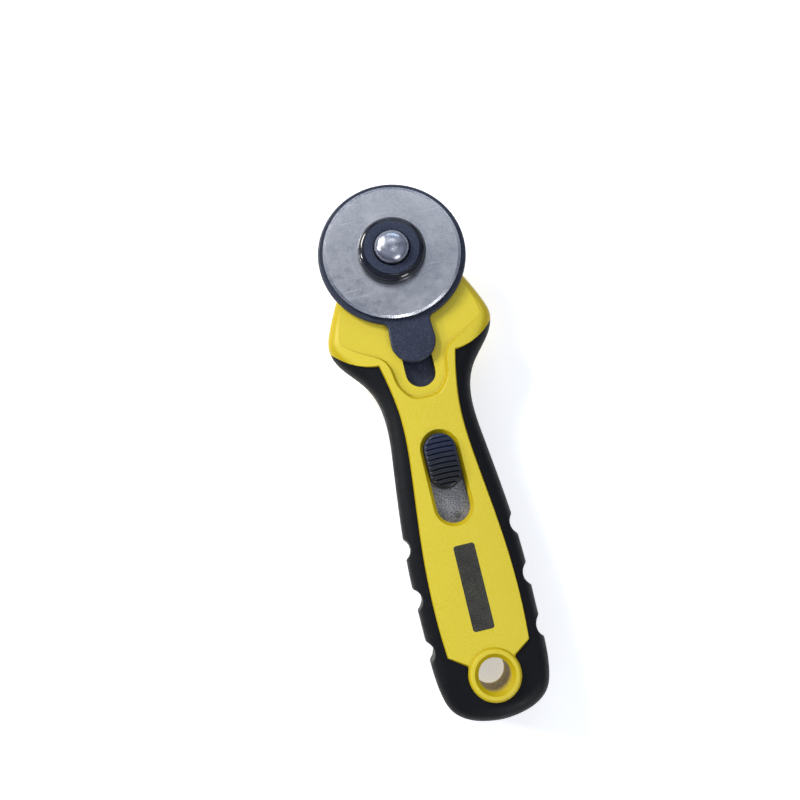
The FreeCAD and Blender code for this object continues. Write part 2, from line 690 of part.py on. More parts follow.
def build_back_shell(core):
    lower = common("back_core", core, half_space("below_split", False))
    inside = fuse("back_inside", hollow("back_hollow", "nut_seat_z + seat_wall", "split_z + past")
                  + [channel("back_channel", "back_wall", "split_z + past")])
    shell = cut("back_wall_solid", lower, inside)
    ribs = []
    for side in (-1, 1):
        word = "left" if side < 0 else "right"
        ribs.append(rail("rail_" + word, f"{side} * rail_x", "rail_back_y", "rail_front_y",
                         "back_wall - past", "rail_top_z"))
        ribs.append(rail("link_rail_" + word, f"{side} * link_rail_x", "link_rail_back_y", "link_front_y",
                         "nut_seat_z + seat_wall - past", "link_z - slack"))
    ribs.append(cylinder("leaf_post", "leaf_post_radius", "back_wall - past", "leaf_seat_z", "detent_x",
                         "leaf_screw_y"))
    holes = [cylinder("back_bolt_hole", "bolt_hole_radius", "0", "split_z"),
             cylinder("nut_pocket", "nut_seat_radius", "0", "nut_seat_z"),
             cylinder("leaf_thread", "leaf_screw_radius", "leaf_thread_z", "leaf_seat_z + past",
                      "detent_x", "leaf_screw_y")]
    holes += hang_cutters("back_hang", "-1 * past", "split_z + past", "0", False)
    for name, x, y, seat in screw_places():
        holes.append(cylinder("back_hole_" + name, "screw_hole_radius", "0", "split_z + past", x, y))
        holes.append(cylinder("back_seat_" + name, "screw_head_radius + slack", "-1 * past",
                              f"{seat} + screw_head", x, y))
    solid = fuse("back_solid", [shell] + ribs)
    finish(cut("back_shell", solid, fuse("back_holes", holes)), "back_shell")


def notched(ring):
    """Cut the finger notches into both sides of the grip and round their lips."""
    radius = size("notch_radius")
    for side in (-1, 1):
        for i in range(NOTCHES):
            along = size(f"notch_first_y - {i} * notch_pitch")
            low = Vec(side * size("notch_x"), along, -size("past"))
            ring = ring.cut(Part.makeCylinder(radius, BEYOND, low))
    lips = [edge for edge in ring.Edges if sum(_is_notch(face) for face in _faces_at(ring, edge)) == 1]
    return ring.makeFillet(size("notch_lip_round"), lips)


def _faces_at(solid, edge):
    return solid.ancestorsOfType(edge, Part.Face)


def _is_notch(face):
    surface = face.Surface
    return isinstance(surface, Part.Cylinder) and abs(surface.Radius - size("notch_radius")) < TOLERANCE


def build_grips():
    """The soft grip is moulded on each shell, so it parts where they part."""
    soft = feature("soft_ring", notched(soft_ring()))
    finish(common("front_grip", soft, half_space("above_grip_split", True)), "front_grip")
    finish(common("back_grip", soft, half_space("below_grip_split", False)), "back_grip")


def build_handle():
    build_front_shell(feature("rounded_core", rounded_core()))
    build_back_shell(feature("plain_core", plain_core()))
    build_grips()


# ---- blade and axle ----------------------------------------

def turned(label, corners, lift):
    body = new_body(label, lift)
    revolve(body, label + "_turning", corners)
    return body


def washer(label, inner, outer, thickness, lift):
    return turned(label, [(inner, "0"), (outer, "0"), (outer, thickness), (inner, thickness)], lift)


def build_blade():
    half = "blade_thickness / 2"
    land = "blade_land / 2"
    root = "blade_radius - blade_bevel"
    turned("blade", [("blade_bore_radius", "0"), (root, "0"), ("blade_radius", f"{half} - {land}"),
                     ("blade_radius", f"{half} + {land}"), (root, "blade_thickness"),
                     ("blade_bore_radius", "blade_thickness")], "blade_z")


def build_axle():
    washer("blade_spacer", "bolt_hole_radius", "spacer_radius", "spacer_thickness", "hub_boss_top_z")
    washer("blade_bush", "bolt_hole_radius", "blade_bore_radius - fit_gap",
           "blade_thickness + 2 * blade_play", "hub_boss_top_z + spacer_thickness")
    cap = turned("hub_cap", [("bolt_hole_radius", "0"), ("cap_radius - cap_foot", "0"),
                             ("cap_radius", "cap_foot"), ("cap_radius", "cap_height"),
                             ("bolt_hole_radius", "cap_height")], "cap_z")
    dress(cap, "Fillet", "hub_cap_round", "cap_round", ring_at("cap_radius", "cap_height"))
    drop = "bolt_tip_z - cap_z - cap_height"
    turned("axle_bolt", [("0", drop), ("bolt_radius - bolt_tip_bevel", drop),
                         ("bolt_radius", f"{drop} + bolt_tip_bevel"), ("bolt_radius", "0"),
                         ("dome_radius", "0"),
                         ("dome_radius", "dome_rim", ("dome_radius / 2", "dome_height")),
                         ("0", "dome_rim + dome_height")],
           "cap_z + cap_height")
    washer("axle_plate", "bolt_hole_radius", "axle_plate_radius", "axle_plate_thickness",
           "ceiling_z - axle_plate_thickness")
    turned("spring_washer", [("spring_inner_radius", "spring_height - spring_sheet"),
                             ("spring_outer_radius", "0"), ("spring_outer_radius", "spring_sheet"),
                             ("spring_inner_radius", "spring_height")], "nut_seat_z - spring_height")


def build_nut():
    washer("nut_washer", "bolt_hole_radius", "nut_washer_radius", "nut_washer_thickness",
           "nut_top_z")
    lift = "nut_top_z - nut_height"
    nut = turned("axle_nut", [("0", "0"), ("nut_radius", "0"), ("nut_radius", "nut_height"),
                              ("insert_radius", "nut_height"),
                              ("insert_radius", "nut_height - insert_length"),
                              ("0", "nut_height - insert_length")], lift)
    dress(nut, "Fillet", "axle_nut_edge", "nut_edge", ring_at("nut_radius", "0"))
    slot = rectangle("-1 * nut_slot_width / 2", "nut_slot_width / 2", "-1 * nut_slot_length / 2",
                     "nut_slot_length / 2")
    pocket(nut, "axle_nut_slot", slot, "nut_slot_depth")
    flute = pocket(nut, "axle_nut_flute",
                   lambda sketch: circle(sketch, "nut_flute_radius", "nut_radius + nut_flute_radius / 2"),
                   "nut_height")
    ring = nut.newObject("PartDesign::PolarPattern", "axle_nut_flutes")
    ring.Originals = [flute]
    ring.Axis = (flute.Profile[0], ["N_Axis"])
    ring.Angle = 360
    ring.Occurrences = int(size("nut_flutes"))
    nut.Tip = ring
    washer("nut_insert", "bolt_hole_radius", "insert_radius", "insert_length", "nut_top_z - insert_length")


# ---- guard, link, slide plate and thumb button ----------------------------------------

def build_guard():
    guard = new_body("guard", "guard_z")
    pad(guard, "guard_disc", lambda sketch: circle(sketch, "guard_radius"), "guard_thickness")
    tongue = [("tongue_radius", "tongue_y"), ("neck_half_width", "neck_y"),
              ("-1 * neck_half_width", "neck_y"),
              ("-1 * tongue_radius", "tongue_y", ("0", "tongue_y - tongue_radius"), "tongue_y")]
    pad(guard, "guard_tongue", lambda sketch: outline(sketch, tongue), "guard_thickness")
    dress(guard, "Fillet", "guard_neck", "neck_round", upright_on_circle("guard_radius"))
    dress(guard, "Fillet", "guard_edges", "guard_edge", outer_rim)
    pocket(guard, "guard_slot",
           lambda sketch: slot_shape(sketch, "guard_slot_radius", "guard_travel + slack", "0"),
           "guard_thickness")
    pocket(guard, "guard_screw_hole", lambda sketch: circle(sketch, "screw_hole_radius", "0", "tongue_y"),
           "guard_screw_depth")


def upright(edge):
    """Test for straight edges along Z."""
    ends = [v.Point for v in edge.Vertexes]
    return len(ends) == 2 and Vec(ends[0].x - ends[1].x, ends[0].y - ends[1].y, 0).Length < TOLERANCE


def upright_on_circle(radius):
    """Test for upright edges at a distance from the blade axis."""
    def test(edge):
        spot = edge.Vertexes[0].Point
        off_circle = abs(Vec(spot.x, spot.y, 0).Length - size(radius))
        return upright(edge) and off_circle < TOLERANCE and abs(spot.x) > 1
    return test


def outer_rim(edge):
    """Test for the level edges round the outside of the guard."""
    box = edge.BoundBox
    return box.ZLength < TOLERANCE and box.XLength + box.YLength > 1


def build_link():
    link = new_body("guard_link", "link_z")
    sides = ("-1 * link_half_width", "link_half_width")
    pad(link, "link_foot", rectangle(*sides, "link_back_y", "link_front_y"), "plate_z - link_z")
    pad(link, "link_top", rectangle(*sides, "link_step_y", "link_front_y"), "link_top_z - link_z")
    pad(link, "link_boss", lambda sketch: circle(sketch, "link_boss_radius", "0", "tongue_y"),
        "guard_z - link_z")
    pocket(link, "link_screw_hole", lambda sketch: circle(sketch, "screw_hole_radius", "0", "tongue_y"),
           "guard_z - link_z")
    pocket(link, "link_screw_seat", lambda sketch: circle(sketch, "screw_head_radius", "0", "tongue_y"),
           "screw_head")
    for word, side in (("left", -1), ("right", 1)):
        pocket(link, "link_rivet_hole_" + word,
               lambda sketch: circle(sketch, "rivet_radius", f"{side} * plate_rivet_x", "plate_rivet_y"),
               "plate_z - link_z")
    screw = turned("link_screw", [("0", "0"), ("screw_head_radius", "0"), ("screw_head_radius", "screw_head"),
                                  ("screw_hole_radius", "screw_head"),
                                  ("screw_hole_radius", "guard_z - link_z + guard_screw_depth"),
                                  ("0", "guard_z - link_z + guard_screw_depth")], "link_z")
    bind(screw, "Placement.Base.y", "blade_axis_y + tongue_y")


def plate_holes():
    """Holes of the slide plate: radius, x, y."""
    holes = [("detent_hole_radius", "detent_x", "detent_y"),
             ("detent_hole_radius", "detent_x", "detent_y + guard_travel")]
    holes += [("rivet_radius", f"{side} * plate_rivet_x", "plate_rivet_y") for side in (-1, 1)]
    return holes + [("rivet_radius", "0", y) for y in button_rivet_rows()]


def button_rivet_rows():
    return [f"button_y + {side} * button_rivet_pitch / 2" for side in (-1, 1)]


def build_plate():
    plate = new_body("slide_plate", "plate_z")
    pad(plate, "plate_sheet", rectangle("-1 * plate_half_width", "plate_half_width", "plate_back_y",
                                        "plate_front_y"), "plate_thickness")
    dress(plate, "Fillet", "plate_corners", "plate_corner", upright)
    for i, (radius, across, along) in enumerate(plate_holes()):
        pocket(plate, f"plate_hole_{i}", lambda sketch: circle(sketch, radius, across, along),
               "plate_thickness")


def rivet(name, across, along, low, high, top_head):
    """A rivet with a head below and, where wanted, one above."""
    pieces = [cylinder(name + "_shank", "rivet_radius", low, high, across, along),
              cylinder(name + "_foot", "rivet_head_radius", f"{low} - rivet_head", low, across, along)]
    if top_head:
        pieces.append(cylinder(name + "_head", "rivet_head_radius", high, f"{high} + rivet_head",
                               across, along))
    return fuse(name, pieces)


def group(label, pieces):
    bundle = doc.addObject("Part::Compound", label)
    bundle.Links = pieces
    return finish(bundle, label)


def build_rivets():
    plate_top = "plate_z + plate_thickness"
    button_end = f"{plate_top} + button_rivet_depth"
    group("plate_rivets", [rivet(f"plate_rivet_{word}", f"{side} * plate_rivet_x", "plate_rivet_y", "link_z",
                                 plate_top, True) for word, side in (("left", -1), ("right", 1))])
    group("button_rivets", [rivet(f"button_rivet_{i}", "0", along, "plate_z", button_end, False)
                            for i, along in enumerate(button_rivet_rows())])


def build_button():
    tall = "button_top_z - plate_z - plate_thickness"
    button = new_body("thumb_button", "plate_z + plate_thickness")
    reach = "button_length / 2 - button_half_width"
    pad(button, "button_block", lambda sketch: slot_shape(sketch, "button_half_width", f"button_y + {reach}",
                                                          f"button_y - ({reach})"), tall)
    dress(button, "Fillet", "button_crest", "button_edge", level_at(tall))
    for i, along in enumerate(button_rivet_rows()):
        pocket(button, f"button_rivet_hole_{i}", lambda sketch: circle(sketch, "rivet_radius", "0", along),
               "button_rivet_depth")
    first = "button_y + (rib_count / 2) * rib_pitch"
    groove = [(first, f"{tall} + past"), (first, f"{tall}"), (f"{first} - rib_pitch", f"{tall} - rib_depth"),
              (f"{first} - rib_pitch", f"{tall} + past")]
    cutter = pocket(button, "button_groove", lambda sketch: outline(sketch, groove), "3 * button_half_width",
                    plane="YZ_Plane", midplane=True)
    row = button.newObject("PartDesign::LinearPattern", "button_grooves")
    row.Originals = [cutter]
    row.Direction = (button.Origin.OriginFeatures[1], [""])
    row.Reversed = True
    bind(row, "Length", "(rib_count - 1) * rib_pitch")
    row.Occurrences = int(size("rib_count"))
    button.Tip = row


# ---- detent and shell screws ----------------------------------------

def build_detent():
    leaf = new_body("detent_spring", "leaf_seat_z")
    rise = "leaf_crest_z - leaf_seat_z"
    under = [("leaf_end_y", "0"), ("leaf_bend_y", "0"), ("detent_y - knee_to_bump", rise),
             ("leaf_tip_y", f"{rise} - leaf_tip_drop")]
    strip = under + [(y, f"{z} + leaf_sheet") for y, z in reversed(under)]
    pad(leaf, "leaf_strip", lambda sketch: outline(sketch, strip), "leaf_width", "detent_x", "YZ_Plane", True)
    pad(leaf, "leaf_bump", lambda sketch: circle(sketch, "bump_radius", "detent_x", "detent_y"),
        "bump_top_z - leaf_crest_z + bump_overlap", f"{rise} - bump_overlap")
    dress(leaf, "Fillet", "leaf_bump_round", "bump_radius / 2",
          ring_at("bump_radius", "bump_top_z - leaf_seat_z"))
    pocket(leaf, "leaf_hole", lambda sketch: circle(sketch, "leaf_screw_radius", "detent_x", "leaf_screw_y"),
           "leaf_sheet")
    low = "leaf_thread_z - leaf_seat_z - leaf_sheet"
    screw = turned("detent_screw", [("0", low), ("leaf_screw_radius", low), ("leaf_screw_radius", "0"),
                                    ("leaf_screw_head_radius", "0"),
                                    ("leaf_screw_head_radius", "leaf_screw_head"),
                                    ("0", "leaf_screw_head")], "leaf_seat_z + leaf_sheet")
    bind(screw, "Placement.Base.x", "detent_x")
    bind(screw, "Placement.Base.y", "blade_axis_y + leaf_screw_y")


def shell_screw(name, across, along, seat):
    """A pan-head screw driven from the back, with a cross in its head."""
    head = cylinder(name + "_head", "screw_head_radius", seat, f"{seat} + screw_head", across, along)
    shank = cylinder(name + "_shank", "screw_hole_radius", f"{seat} + screw_head", "screw_tip_z",
                     across, along)
    bars = []
    for i, (w, d) in enumerate((("cross_width", "cross_length"), ("cross_length", "cross_width"))):
        bars.append(box(f"{name}_bar_{i}", f"{across} - {w} / 2", f"{across} + {w} / 2", f"{along} - {d} / 2",
                        f"{along} + {d} / 2", f"{seat} - cross_width", f"{seat} + cross_width"))
    return cut(name, fuse(name + "_blank", [head, shank]), fuse(name + "_cross", bars))


def build_screws():
    group("shell_screws", [shell_screw("screw_" + n, x, y, seat) for n, x, y, seat in screw_places()])


# ---- build, check, write ----------------------------------------

def check_document():
    doc.recompute()
    for thing in doc.Objects:
        wrong = [state for state in thing.State if state in ("Invalid", "Error")]
        assert not wrong, f"{thing.Name} is {wrong}"
    for label, thing in SUB_PARTS.items():
        assert not thing.Shape.isNull() and thing.Shape.isValid(), label + " has no valid shape"
        solids = 1 if thing.TypeId != "Part::Compound" else len(thing.Links)
        assert len(thing.Shape.Solids) == solids, label + " has come apart"


def write_steps():
    os.makedirs("parts", exist_ok=True)
    for label, thing in SUB_PARTS.items():
        thing.Shape.exportStep(f"parts/{label}.step")


def main():
    build_handle()
    build_blade()
    build_axle()
    build_nut()
    build_guard()
    build_link()
    build_plate()
    build_rivets()
    build_button()
    build_detent()
    build_screws()
    check_document()
    write_steps()


main()
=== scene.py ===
import bpy
import json
import math
from mathutils import Matrix, Vector

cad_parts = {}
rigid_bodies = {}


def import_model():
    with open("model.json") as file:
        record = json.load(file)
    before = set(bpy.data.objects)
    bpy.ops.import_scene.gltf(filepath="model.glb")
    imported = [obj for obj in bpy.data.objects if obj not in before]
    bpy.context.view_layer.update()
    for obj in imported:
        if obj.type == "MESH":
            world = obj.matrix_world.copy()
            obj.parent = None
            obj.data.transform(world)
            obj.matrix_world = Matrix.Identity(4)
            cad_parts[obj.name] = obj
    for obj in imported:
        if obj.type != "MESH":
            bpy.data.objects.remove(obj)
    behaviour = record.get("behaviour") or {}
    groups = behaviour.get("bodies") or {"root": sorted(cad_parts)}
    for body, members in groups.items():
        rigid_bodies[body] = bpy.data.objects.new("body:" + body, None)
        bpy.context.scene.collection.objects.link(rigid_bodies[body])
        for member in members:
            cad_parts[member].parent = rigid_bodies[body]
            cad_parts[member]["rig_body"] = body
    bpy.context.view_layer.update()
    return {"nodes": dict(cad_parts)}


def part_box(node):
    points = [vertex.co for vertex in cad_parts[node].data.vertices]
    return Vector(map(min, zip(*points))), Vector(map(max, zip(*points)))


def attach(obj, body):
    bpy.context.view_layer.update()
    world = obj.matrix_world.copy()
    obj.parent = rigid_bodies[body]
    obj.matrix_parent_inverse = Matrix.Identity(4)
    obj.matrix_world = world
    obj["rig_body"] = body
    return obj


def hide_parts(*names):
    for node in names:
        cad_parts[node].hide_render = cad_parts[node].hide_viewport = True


# Looks of the rotary cutter. Sizes are in millimetres in the row frame until a mesh is made.
MM = 0.001
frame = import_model()
nodes = frame["nodes"]


# ---- places read from the frame ----------------------------------------------------------

def spans(node):
    """Lowest and highest corner of a CAD node in millimetres."""
    low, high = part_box(node)
    return low / MM, high / MM


BLADE_LOW, BLADE_HIGH = spans("blade")
CAP_LOW, CAP_HIGH = spans("hub_cap")
BOLT_LOW, BOLT_HIGH = spans("axle_bolt")
BUTTON_LOW, BUTTON_HIGH = spans("thumb_button")
AXIS_Y = (BLADE_LOW.y + BLADE_HIGH.y) / 2
BLADE_RADIUS = BLADE_HIGH.x
CAP_RADIUS = CAP_HIGH.x
DOME_RADIUS = BOLT_HIGH.x
SPLIT_Z = spans("back_grip")[1].z
BUTTON_Y = (BUTTON_LOW.y + BUTTON_HIGH.y) / 2
BUTTON_HALF = BUTTON_HIGH.x
BUTTON_REACH = (BUTTON_HIGH.y - BUTTON_LOW.y) / 2 - BUTTON_HALF

# shapes that stand for CAD nodes
TURNS = 256
SHARP_DEGREES = 40
NEAR = 0.001
BORE_RADIUS = 4.0
BEVEL_WIDTH = 0.9
EDGE_LAND = 0.04
FACE_RINGS = (12.0, 17.0)
BEVEL_SHARP_DEGREES = 4
BOLT_HOLE = 2.55
BOLT_SHANK = 2.5
BOLT_TIP_BEVEL = 0.5
CAP_FOOT = 0.7
CAP_FLAT_RADIUS = 8.9
CAP_WELL_RADIUS = 5.97
CAP_WELL_DEPTH = 1.1
CAP_LIP = 0.12
FOOT_STEPS, SHOULDER_STEPS, LIP_STEPS = 6, 16, 5
DOME_RIM = 0.9
DOME_POWER = 2.2
DOME_STEPS = 40
BUTTON_EDGE = 1.1
GROOVES = 9
GROOVE_PITCH = 1.62
GROOVE_DEPTH = 0.70
GROOVE_ARCH = 0.30
GROOVE_SLANT = 0.10
GROOVE_POWER = 3
GROOVE_LEAN = 0.35
GROOVE_END, GROOVE_FADE = 0.12, 0.9
BUTTON_ROWS, BUTTON_COLUMNS = 260, 48
BUTTON_TIP_HALF = 0.001
BUTTON_SHARP_DEGREES = 75
CROWN_RADIUS = 170.0
FACE_Z = 21.3
PATCH_FROM, PATCH_TO = -96.4, -122.4
PATCH_WIDTH = 6.6
PATCH_CORNER = 0.9
PATCH_FILM = 0.04
PATCH_ROWS, PATCH_COLUMNS = 60, 16
PATCH_SHARP_DEGREES = 60

# patterns of the materials
NOISE_SPAN = (0.3, 0.7)
SEAM_HALF = 0.07
SEAM_DEPTH = 0.08
# Where the painted bluish sheen on the button starts.
SHEEN_FROM = BUTTON_LOW.y + 4
BLADE_RING_RADIUS = 13.6
# Centre of a soft dark spot on the slide plate.
DARK_SPOT_X, DARK_SPOT_Y = 0.8, AXIS_Y - 88.6
TURNED_SMOOTHER, TURNED_ROUGHER = 0.06, 0.08


# ---- materials -------------------------------------------------------------------------------

class Look:
    """A node material whose patterns are laid out in millimetres on the object itself."""

    def __init__(self, name, **settings):
        self.material = bpy.data.materials.new(name)
        self.material.use_nodes = True
        self.nodes = self.material.node_tree.nodes
        self.links = self.material.node_tree.links
        self.shader = self.nodes["Principled BSDF"]
        for words, value in settings.items():
            self.set(words.replace("_", " "), value)
        self.coords = self.node("TexCoord")
        self.place = self.node("VectorMath", {0: self.coords.outputs["Object"], "Scale": 1 / MM},
                               operation="SCALE").outputs[0]
        self.height = None

    def set(self, socket, value):
        """Give one of the shader's sockets a value or a link."""
        self.feed(self.shader.inputs[socket], value)

    def feed(self, socket, value):
        """Give any socket a value or a link."""
        if isinstance(value, bpy.types.NodeSocket):
            self.links.new(value, socket)
        else:
            socket.default_value = value

    def node(self, kind, inputs=None, **properties):
        """A new node with its properties and inputs given."""
        made = self.nodes.new("ShaderNode" + kind)
        for key, value in properties.items():
            setattr(made, key, value)
        for socket, value in (inputs or {}).items():
            self.feed(made.inputs[socket], value)
        return made

    def noise(self, per_mm, detail=2.0, rough=0.5, where=None, warp=0.0):
        return self.node("TexNoise", {"Vector": where or self.place, "Scale": per_mm, "Detail": detail,
                                      "Roughness": rough, "Distortion": warp}).outputs["Fac"]

    def cloud(self, per_mm, detail, rough=0.5, warp=0.0, low=0.0, high=1.0):
        """Noise spread over the range from low to high."""
        return self.remap(self.noise(per_mm, detail, rough, warp=warp), *NOISE_SPAN, low, high)

    def uneven_roughness(self, low, high, per_mm, detail, rough=0.5):
        """Roughness that wanders between two values."""
        self.set("Roughness", self.cloud(per_mm, detail, rough, low=low, high=high))

    def cells(self, per_mm):
        return self.node("TexVoronoi", {"Vector": self.place, "Scale": per_mm}).outputs["Distance"]

    def stretched(self, x, y, z, turn=0.0):
        """The place with each axis scaled, for streaks."""
        return self.node("Mapping", {"Vector": self.place, "Rotation": (0, 0, turn),
                                     "Scale": (x, y, z)}).outputs["Vector"]

    def math(self, operation, first, second=0.0):
        return self.node("Math", {0: first, 1: second}, operation=operation).outputs[0]

    def remap(self, value, low, high, to_low=0.0, to_high=1.0):
        return self.node("MapRange", {"Value": value, "From Min": low, "From Max": high, "To Min": to_low,
                                      "To Max": to_high}, interpolation_type="SMOOTHSTEP").outputs["Result"]

    def axis(self, letter):
        return self.node("SeparateXYZ", {0: self.place}).outputs[letter]

    def facing_up(self):
        """1 where the surface is level and 0 where it is upright."""
        split = self.node("SeparateXYZ", {0: self.coords.outputs["Normal"]})
        return self.math("ABSOLUTE", split.outputs["Z"])

    def blend(self, share, first, second):
        mixed = self.node("MixRGB", {"Fac": share})
        for socket, color in (("Color1", first), ("Color2", second)):
            self.feed(mixed.inputs[socket], color if isinstance(color, bpy.types.NodeSocket) else (*color, 1))
        return mixed.outputs["Color"]

    def away_from(self, x, y):
        """Distance in millimetres from an upright line."""
        split = self.node("SeparateXYZ", {0: self.place})
        across = self.math("SUBTRACT", split.outputs["X"], x)
        along = self.math("SUBTRACT", split.outputs["Y"], y)
        squares = self.math("ADD", self.math("MULTIPLY", across, across), self.math("MULTIPLY", along, along))
        return self.math("SQRT", squares)

    def bump(self, value, depth_mm):
        """Add relief on top of the bumps already given."""
        inputs = {"Height": value, "Distance": depth_mm * MM, "Strength": 1.0}
        if self.height:
            inputs["Normal"] = self.height
        self.height = self.node("Bump", inputs).outputs["Normal"]
        self.set("Normal", self.height)

    def parting_groove(self, skin, groove):
        """Colour the surface, with a thin groove on the parting plane of the two shells."""
        off = self.math("ABSOLUTE", self.math("SUBTRACT", self.axis("Z"), SPLIT_Z))
        line = self.remap(off, SEAM_HALF / 2, SEAM_HALF, 1.0, 0.0)
        self.set("Base Color", self.blend(line, skin, groove))
        self.bump(line, -SEAM_DEPTH)


def yellow_plastic():
    look = Look("yellow_plastic")
    # Painted shade: steep faces, walls and bevels are tinted a deeper, darker gold for the weaker, yellower
    # light they get; the same mask lowers their specular level.
    steep = look.remap(look.facing_up(), 0.78, 0.995, 1.0, 0.0)
    cloud = look.noise(0.06, 3)
    grain = look.remap(look.noise(2.8, 3, 0.7), 0.38, 0.66)
    face = look.blend(cloud, (0.615, 0.490, 0.016), (0.690, 0.555, 0.026))
    face = look.blend(look.math("MULTIPLY", grain, 0.42), face, (0.78, 0.66, 0.11))
    body = look.blend(look.math("MULTIPLY", steep, 0.90), face, (0.47, 0.345, 0.001))
    look.set("Specular IOR Level", look.remap(steep, 0.0, 1.0, 0.38, 0.14))
    look.uneven_roughness(0.36, 0.50, 1.1, 3)
    look.bump(look.noise(3.2, 2, 0.6), 0.022)
    look.parting_groove(body, (0.16, 0.10, 0.002))
    return look.material


def soft_grip():
    look = Look("soft_grip", Specular_IOR_Level=0.16)
    # Painted sheen: level faces get a lighter, bluish colour while the upright sides stay near black. The
    # light flecks are grain, but they also show more on level faces as painted sheen.
    level = look.remap(look.facing_up(), 0.55, 1.0)
    dust = look.remap(look.noise(0.09, 4, 0.6), 0.35, 0.75)
    skin = look.blend(level, (0.0020, 0.0020, 0.0022), (0.0036, 0.0044, 0.0062))
    skin = look.blend(look.math("MULTIPLY", dust, 0.3), skin, (0.0065, 0.0070, 0.0085))
    grain = look.remap(look.noise(1.9, 3, 0.7), 0.52, 0.74)
    grain = look.math("MULTIPLY", grain, look.remap(level, 0, 1, 0.2, 0.5))
    skin = look.blend(grain, skin, (0.0130, 0.0150, 0.0200))
    look.uneven_roughness(0.46, 0.58, 0.5, 3)
    look.bump(look.noise(4.0, 2, 0.6), 0.015)
    look.parting_groove(skin, (0.001, 0.001, 0.001))
    return look.material


def guard_plastic():
    look = Look("guard_plastic", Specular_IOR_Level=0.40)
    speck = look.remap(look.noise(1.8, 3, 0.75), 0.46, 0.70)
    cloud = look.cloud(0.12, 3)
    skin = look.blend(cloud, (0.012, 0.016, 0.034), (0.019, 0.025, 0.050))
    look.set("Base Color", look.blend(look.math("MULTIPLY", speck, 0.7), skin, (0.054, 0.068, 0.115)))
    look.uneven_roughness(0.40, 0.54, 0.8, 3)
    look.bump(look.noise(2.6, 2, 0.55), 0.03)
    return look.material


def button_plastic():
    look = Look("button_plastic", Specular_IOR_Level=0.4)
    grain = look.remap(look.noise(2.2, 3, 0.6), 0.35, 0.7)
    # Painted sheen: towards the button's top end the colour turns lighter and bluish, standing in for a
    # reflection, and the lower end stays darker.
    top_sheen = look.remap(look.axis("Y"), SHEEN_FROM, BUTTON_HIGH.y)
    dark = look.blend(top_sheen, (0.003, 0.004, 0.007), (0.006, 0.011, 0.030))
    light = look.blend(top_sheen, (0.007, 0.009, 0.016), (0.018, 0.030, 0.085))
    look.set("Base Color", look.blend(grain, dark, light))
    look.uneven_roughness(0.36, 0.50, 0.9, 2)
    look.bump(look.noise(5.0, 2), 0.008)
    return look.material


def hub_plastic():
    """The smooth shoulder of the hub cap, and the finger nut."""
    look = Look("hub_plastic", Specular_IOR_Level=0.5)
    cloud = look.cloud(0.35, 3)
    look.set("Base Color", look.blend(cloud, (0.004, 0.005, 0.009), (0.008, 0.010, 0.019)))
    look.uneven_roughness(0.10, 0.17, 1.4, 3)
    look.bump(look.noise(0.8, 2), 0.006)
    return look.material


def hub_texture():
    """The flat spark-eroded ring on top of the hub cap."""
    look = Look("hub_texture", Specular_IOR_Level=0.4)
    speck = look.remap(look.noise(2.2, 3, 0.7), 0.42, 0.68)
    look.set("Base Color", look.blend(speck, (0.010, 0.016, 0.038), (0.042, 0.058, 0.110)))
    look.uneven_roughness(0.42, 0.58, 2.0, 2)
    look.bump(look.noise(3.0, 2, 0.6), 0.04)
    return look.material


def polished_chrome():
    look = Look("polished_chrome", Metallic=1.0)
    haze = look.cloud(0.45, 4, 0.6)
    face = look.blend(haze, (0.47, 0.485, 0.55), (0.58, 0.595, 0.65))
    # Painted reflection: the dome's steep sides are darkened to a bluish grey for the dimmer reflections
    # there, and the level middle stays lighter.
    side = look.remap(look.facing_up(), 0.70, 0.985, 1.0, 0.0)
    look.set("Base Color", look.blend(side, face, (0.20, 0.21, 0.26)))
    look.uneven_roughness(0.24, 0.32, 0.7, 4)
    look.bump(look.noise(0.9, 3), 0.004)
    return look.material


def scratches(look, turn, per_mm, sharp):
    """Thin straight streaks lying one way."""
    streak = look.noise(1.0, 2, 0.6, where=look.stretched(0.05 * per_mm, 2.2 * per_mm, 0.2, turn))
    return look.remap(streak, sharp, sharp + 0.06)


def blade_steel():
    look = Look("blade_steel", Metallic=1.0)
    haze = look.cloud(0.10, 5, 0.62, warp=0.4)
    mottle = look.remap(look.noise(1.1, 4, 0.7), 0.35, 0.65)
    color = look.blend(haze, (0.43, 0.44, 0.485), (0.58, 0.59, 0.625))
    color = look.blend(look.math("MULTIPLY", mottle, 0.40), color, (0.70, 0.71, 0.73))
    off_ring = look.math("ABSOLUTE", look.math("SUBTRACT", look.away_from(0, AXIS_Y), BLADE_RING_RADIUS))
    ring = look.remap(off_ring, 0.15, 0.55, 1.0, 0.0)
    color = look.blend(look.math("MULTIPLY", ring, 0.12), color, (0.80, 0.81, 0.83))
    marks = look.math("MAXIMUM", scratches(look, 0.5, 1.0, 0.68), scratches(look, 2.1, 0.8, 0.69))
    look.set("Base Color", look.blend(look.math("MULTIPLY", marks, 0.55), color, (0.86, 0.87, 0.89)))
    look.uneven_roughness(0.27, 0.38, 0.35, 5, 0.6)
    look.bump(look.noise(1.0, 3, 0.6, where=look.stretched(0.5, 3.0, 1.0, 0.9)), 0.010)
    look.bump(marks, -0.006)
    return look.material


def blade_edge():
    """The finely ground edge of the blade."""
    look = Look("blade_edge", Metallic=1.0)
    grain = look.cloud(3.5, 3)
    look.set("Base Color", look.blend(grain, (0.68, 0.69, 0.72), (0.82, 0.83, 0.85)))
    look.uneven_roughness(0.14, 0.24, 1.5, 3)
    look.bump(look.noise(3.0, 3), 0.004)
    return look.material


